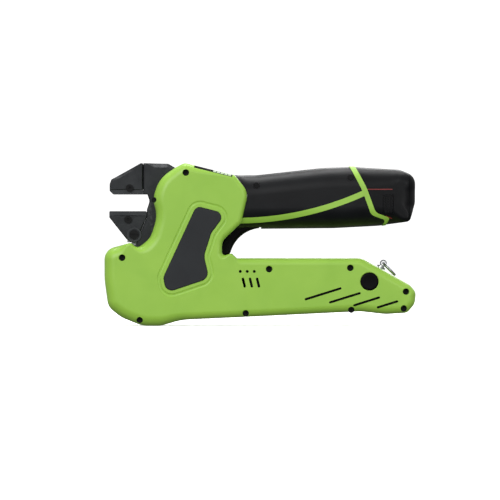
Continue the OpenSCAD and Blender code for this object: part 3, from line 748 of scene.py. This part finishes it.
def build_battery():
    halves = [grip_skin("half", side, 0.12) for side in (-1, 1)]
    head = joined("battery_head", halves, weld=True)
    shape_with(head, prism("cutter", ahead_of_collar(2.35), -40, 40))
    cap = head.copy()
    cap.data = head.data.copy()
    bpy.context.scene.collection.objects.link(cap)
    shape_with(head, box("cutter", 140.8, 170, -40, 40, 60, 170))
    shape_with(cap, box("cutter", 80, 141.15, -40, 40, 60, 170))
    cap.name = "battery_end_cap"
    for side in (-1, 1):
        y0, y1 = sorted((side * (GRIP_HALF - 6.2), side * (GRIP_HALF + 3)))
        shape_with(head, box("cutter", 116.2, 125.8, y0, y1, 105.7, 123.8))
    # seam line round the barrel, and the short one under the latch
    seam_tool = box("seam_tool", 99, 124.8, -40, 40, 128.45, 129.4)
    seam = grip_ring("battery_red_seam", 0.0, 1.2)
    shape_with(seam, seam_tool, "INTERSECT")
    low_tool = box("low_tool", 118.6, 125.0, -40, 40, -0.45, 0.45)
    low_tool.data.transform(Matrix.Translation((0.119, 0, 0.1036)) @ Matrix.Rotation(math.radians(22), 4, "Y")
                            @ Matrix.Translation((-0.119, 0, 0)))
    low = grip_ring("low_seam", 0.0, 1.2)
    shape_with(low, low_tool, "INTERSECT")
    seam = joined("battery_red_seam", [seam, low])
    shape_with(seam, prism("cutter", ahead_of_collar(2.35), -40, 40))
    shape_with(head, seam, keep_tool=True)
    stick = rounded_bar("battery_stick", 22, 112, 16, 99, 138, 12)
    shape_with(head, stick, "UNION")
    for obj in (head, cap):
        tidy(obj)
    dress(head, "battery", "battery_plastic", "battery_case", angle=30, bevel=0.25)
    dress(cap, "battery", "battery_plastic", "battery_cap", angle=30, bevel=0.3)
    dress(seam, "battery", "red_seam", "battery_seam", angle=30)
    for side in (-1, 1):
        build_latch(side)


def grip_ring(name, outer, depth):
    """The outermost layer of the handle and battery shape, both halves."""
    layer = joined(name, [grip_skin("half", side, outer) for side in (-1, 1)], weld=True)
    core = joined("core", [grip_skin("half", side, outer + depth) for side in (-1, 1)], weld=True)
    return shape_with(layer, core)


def build_latch(side):
    hand = "left" if side < 0 else "right"
    pad = grip_skin("latch_pad_" + hand, side, 0.0)
    y0, y1 = sorted((side * (GRIP_HALF - 3.4), side * (GRIP_HALF + 3)))
    shape_with(pad, box("cutter", 116.6, 125.4, y0, y1, 106.1, 123.4), "INTERSECT")
    y0, y1 = sorted((side * (GRIP_HALF - 1.0), side * (GRIP_HALF + 3)))
    grooves = [box("g", 118.1 + 2.4 * i, 119.3 + 2.4 * i, y0, y1, 107.2, 122.3) for i in range(3)]
    shape_with(pad, joined("grooves", grooves))
    tidy(pad)
    dress(pad, "latch_" + hand, "battery_plastic", "latch_" + hand, angle=30, bevel=0.25)


# ---------------------------------------------------------------- trigger and button
def build_trigger():
    outer, inner = [], []
    for a in np.linspace(166.0, 106.0, 26):
        t = math.radians(a)
        outer.append(np.array([1 + 41.5 * math.cos(t), 63 + 41.5 * math.sin(t)]))
    for a in np.linspace(96.0, 164.0, 28):
        t = math.radians(a)
        inner.append(np.array([2.5 + 31.6 * math.cos(t), 61 + 31.6 * math.sin(t)]))
    tip = [np.array(p) for p in ((-6.0, 99.2), (-1.6, 96.4), (-0.9, 95.0), (-0.7, 93.6))]
    foot = [np.array(p) for p in (
        (-28.9, 68.0), (-30.4, 67.0), (-33.0, 66.7), (-38.6, 67.4), (-40.8, 69.0), (-41.2, 71.0))]
    lever = double_plate("trigger_lever", np.array(outer + tip + inner + foot), 8.8, 4.2, steps=7, gap=1.2)
    shape_with(lever, lathe("cutter", [(1.55, -12), (1.55, 12)], (-38, 0, 70.5), segments=24))
    dress(lever, "trigger", "black_plastic", "trigger", angle=30)


def build_button():
    face = BODY_HALF - 0.2
    profile = [
        (3, -12.0), (3, -24.4), (8.25, -24.4), (8.25, -26.2), (7.9, -26.6), (7.2, -face),
        (6.0, -26.72), (4.0, -26.55), (1.5, -26.45), (0.01, -26.44),
    ]
    cap = lathe("side_button_cap", profile, (103, 0, 42), segments=64)
    dress(cap, "button", "black_plastic", "side_button", angle=35)


# ---------------------------------------------------------------- steel head
FRAME = [
    [-110.4, 154, 0.4], [-87, 153.6, 4], [-76, 147, 4], [-76, 126, 8], [-86, 100, 16], [-99, 78, 10],
    [-99, 20, 1], [-110, 20, 1], [-110, 64.5, 1], [-122, 64.5, 1], [-122, 71, 1], [-117.6, 77, 1],
    [-107.2, 102.4, 1], [-107.2, 110, 5], [-104.6, 118, 6], [-106.8, 124.5, 1], [-110.4, 124.5, 0.4],
]
UPPER_JAW = [
    [-142.5, 128.55, 0.4], [-142.5, 134, 2], [-141, 138.5, 2], [-113, 154, 2], [-111.4, 154, 0.3],
    [-111.4, 128.55, 0.3],
]
TENON = [
    [-113, 129, 1], [-113, 153, 1], [-90, 153, 4], [-80, 148, 4], [-80, 120, 10], [-99, 112, 4],
    [-104, 118, 4], [-104, 129, 1],
]
LOWER_JAW = [
    [-142.8, 104.5, 0.3], [-142.8, 102.5, 1.5], [-126.6, 82, 3], [-122, 78.7, 2], [-117.8, 78.7, 1],
    [-107.6, 103, 1], [-107.6, 104.5, 0.3],
]


ROLLER_Z = 28 + 7.1 / math.cos(math.atan(0.75))


def frame_edge(x, z):
    """The top edge of the frame is broad, the others are fine."""
    return 4.0 if z > 149.0 and x < -80 else 0.7


def upper_edge(x, z):
    on_slope = z > 136.0 and x < -112.3
    return 2.8 if on_slope else 0.6


def build_frame():
    for side in (-1, 1):
        hand = "left" if side < 0 else "right"
        cheek = plate("frame_cheek_" + hand, rounded(FRAME, 8), side * 4.2, side * JAW_HALF, frame_edge,
                      kind="chamfer", gap=1.2)
        for x, z in ((-100.5, 119), (-90, 137), (-104, 50), (-104, 28)):
            shape_with(cheek, lathe("cutter", [(2.25, -12), (2.25, 12)], (x, 0, z), segments=32))
        tidy(cheek)
        dress(cheek, "housing", "dark_steel", "frame_plate_" + hand, angle=15, bevel=0.18)
    arm = double_plate("upper_jaw_arm", rounded(UPPER_JAW, 8), JAW_HALF, upper_edge, kind="chamfer", gap=1.2)
    shape_with(arm, prism("tenon", rounded(TENON, 10), -4.1, 4.1), "UNION")
    shape_with(arm, lathe("cutter", [(1.5, -20), (1.5, 0)], (-123.5, 0, 130.4), segments=24))
    for x, z in ((-100.5, 119), (-90, 137)):
        shape_with(arm, lathe("cutter", [(2.25, -12), (2.25, 12)], (x, 0, z), segments=32))
    tidy(arm)
    dress(arm, "housing", "dark_steel", "upper_jaw", angle=15, bevel=0.18)


def build_stem():
    """The stem under the lower jaw, with a tongue that runs between the two frame plates."""
    stem = box("stem_tongue", -125.9, -106.4, -3.95, 3.95, 79, 101.8)
    shape_with(stem, box("shaft", -121.5, -113.5, -3.95, 3.95, 46, 79.5), "UNION")
    shape_with(stem, box("fork", -121.5, -113.5, -7.5, 7.5, ROLLER_Z - 6, ROLLER_Z + 9.5), "UNION")
    shape_with(stem, box("cutter", -137.5, -97.5, -4.3, 4.3, 0, ROLLER_Z + 8))
    for x, z, radius in ((-117.5, ROLLER_Z, 2.2), (-119.2, 86.2, 4.3)):
        shape_with(stem, lathe("cutter", [(radius, -20), (radius, 20)], (x, 0, z), segments=32))
    tidy(stem)
    dress(stem, "jaw", "bright_steel", "jaw_stem", bevel=0.3)


def build_lower_jaw():
    jaw = double_plate("lower_jaw_block", rounded(LOWER_JAW, 8), JAW_HALF, 0.8, kind="chamfer", gap=1.2)
    shape_with(jaw, box("cutter", -126, -100, -4, 4, 70, 102))
    shape_with(jaw, lathe("cutter", [(4.35, -20), (4.35, 20)], (-119.2, 0, 86.2), segments=48))
    shape_with(jaw, lathe("cutter", [(1.5, -20), (1.5, -4.5)], (-125, 0, 100.6), segments=24))
    tidy(jaw)
    dress(jaw, "jaw", "dark_steel", "lower_jaw", angle=15, bevel=0.18)
    build_stem()
    # round boss plate on each side, with a groove between rim and pin
    for side in (-1, 1):
        hand = "left" if side < 0 else "right"
        y = side * JAW_HALF
        rise = [(4.4, -0.2), (4.4, 0.2), (4.9, 0.25), (5.2, 0.75), (6.9, 0.78), (7.4, 0.35), (7.4, -0.2)]
        profile = [(r, y + side * h) for r, h in rise]
        rim = lathe("boss_rim_" + hand, profile, (-119.2, 0, 86.2), segments=64)
        dress(rim, "jaw", "die_steel", "jaw_pin_washer", angle=35)


# ---------------------------------------------------------------- CAD nodes that keep their shape
KEPT = {
    "display_window": 0.25, "charge_lights": 0.2, "trigger_pin": 0.2, "trigger_switch": 0.4,
    "button_seat": 0.3, "control_board": 0.15, "hang_eye": 0.35, "hang_ring": 0, "housing_screws": 0.25,
    "grip_screws": 0.25, "upper_die": 0.25, "upper_die_screw": 0.35, "frame_pins": 0.3,
    "lower_die": 0.25, "lower_die_screw": 0.35, "jaw_pin": 0.35, "roller": 0.3, "roller_pin": 0.2,
    "return_spring": 0, "drive_channel": 0.4, "wedge_carriage": 0.3, "drive_nut": 0.3, "lead_screw": 0,
    "screw_bearing": 0.3, "bearing_block": 0.4, "ring_gear": 0.08, "planet_carrier": 0.2,
    "planet_gear_1": 0.05, "planet_gear_2": 0.05, "planet_gear_3": 0.05, "sun_gear": 0.05,
    "motor_can": 0.4, "motor_magnets": 0.2, "motor_bearings": 0.15, "rotor": 0.2, "cooling_fan": 0.1,
    "terminal_block": 0.3, "power_leads": 0, "battery_cells": 0.5,
}


def finish_cad_nodes():
    slots = {part["node"]: part["material_slot"] for part in frame["record"]["subparts"]}
    for node, bevel in KEPT.items():
        obj = frame["nodes"][node]
        obj.data.materials.clear()
        obj.data.materials.append(MATERIALS[slots[node]])
        if bevel:
            mod = obj.modifiers.new("edges", "BEVEL")
            mod.width = bevel * MM
            mod.segments = 2
            mod.limit_method = "ANGLE"
            mod.angle_limit = math.radians(35)


build_body()
build_shade_screens()
build_handle()
build_battery()
build_trigger()
build_button()
build_frame()
build_lower_jaw()
finish_cad_nodes()

# ---------------------------------------------------------------- camera, light and floor
VIEW_WIDTH = 0.475
DISTANCE = 3.0
camera = bpy.data.objects.new("camera", bpy.data.cameras.new("camera"))
bpy.context.scene.collection.objects.link(camera)
camera.location = (-0.0095, -DISTANCE, 0.0717)
camera.rotation_euler = (math.pi / 2, 0, 0)
camera.data.sensor_width = 36
camera.data.lens = 36 * DISTANCE / VIEW_WIDTH
camera.data.clip_end = 30
bpy.context.scene.camera = camera

world = bpy.data.worlds.new("studio")
world.use_nodes = True
sky = world.node_tree
height = sky.nodes.new("ShaderNodeSeparateXYZ")
sky.links.new(sky.nodes.new("ShaderNodeTexCoord").outputs["Generated"], height.inputs["Vector"])
fade = sky.nodes.new("ShaderNodeMapRange")
for key, number in (("From Min", -0.5), ("From Max", 0.5), ("To Min", 0.16), ("To Max", 0.62)):
    fade.inputs[key].default_value = number
sky.links.new(height.outputs["Z"], fade.inputs["Value"])
sky.links.new(fade.outputs["Result"], sky.nodes["Background"].inputs["Strength"])
sky.nodes["Background"].inputs["Color"].default_value = (1, 1, 1, 1)
bpy.context.scene.world = world
bpy.context.scene.view_settings.view_transform = "Standard"


def softbox(name, place, target, size_x, size_y, power):
    data = bpy.data.lights.new(name, "AREA")
    data.shape = "RECTANGLE"
    data.size = size_x
    data.size_y = size_y
    data.energy = power
    light = bpy.data.objects.new(name, data)
    bpy.context.scene.collection.objects.link(light)
    light.location = place
    light.rotation_euler = (Vector(target) - Vector(place)).to_track_quat("-Z", "Y").to_euler()
    return light


softbox("top_light", (-0.1, 0.25, 1.2), (0, 0, 0.1), 1.0, 0.5, 9)
softbox("front_left", (-0.75, -1.7, 0.85), (0, 0, 0.08), 1.0, 1.0, 17)
softbox("front_right", (0.9, -1.7, 0.35), (0, 0, 0.08), 0.8, 0.8, 7)
softbox("rear_light", (0.4, 1.2, 0.9), (0, 0, 0.08), 0.8, 0.6, 8)


def floor_sweep():
    """A round floor that curves up into a backdrop on every side, wider than any camera's distance."""
    reach, curve, high, sides = 5.0, 1.2, 4.0, 64
    line = [(reach - curve, 0.0)]
    for k in range(1, 13):
        a = math.pi / 2 * k / 12
        line.append((reach - curve + curve * math.sin(a), curve - curve * math.cos(a)))
    line.append((reach, high))
    turns = [2 * math.pi * i / sides for i in range(sides)]
    verts = [(r * math.cos(t), r * math.sin(t), z) for r, z in line for t in turns]
    faces = [tuple(range(sides))]
    for k in range(len(line) - 1):
        for i in range(sides):
            j = (i + 1) % sides
            faces.append((k * sides + i, (k + 1) * sides + i, (k + 1) * sides + j, k * sides + j))
    mesh = bpy.data.meshes.new("floor")
    mesh.from_pydata(verts, [], faces)
    mesh.shade_smooth()
    floor = bpy.data.objects.new("floor", mesh)
    bpy.context.scene.collection.objects.link(floor)
    paper = material("paper", (0.93, 0.93, 0.93), (0.90, 0.90, 0.90), 0.75, grain=300, grain_bump=0.05, patch=3)
    glow = paper.node_tree.nodes["Principled BSDF"]
    glow.inputs["Emission Color"].default_value = (1, 1, 1, 1)
    glow.inputs["Emission Strength"].default_value = 0.62
    mesh.materials.append(paper)
    floor.visible_diffuse = False
    floor.visible_glossy = False


floor_sweep()
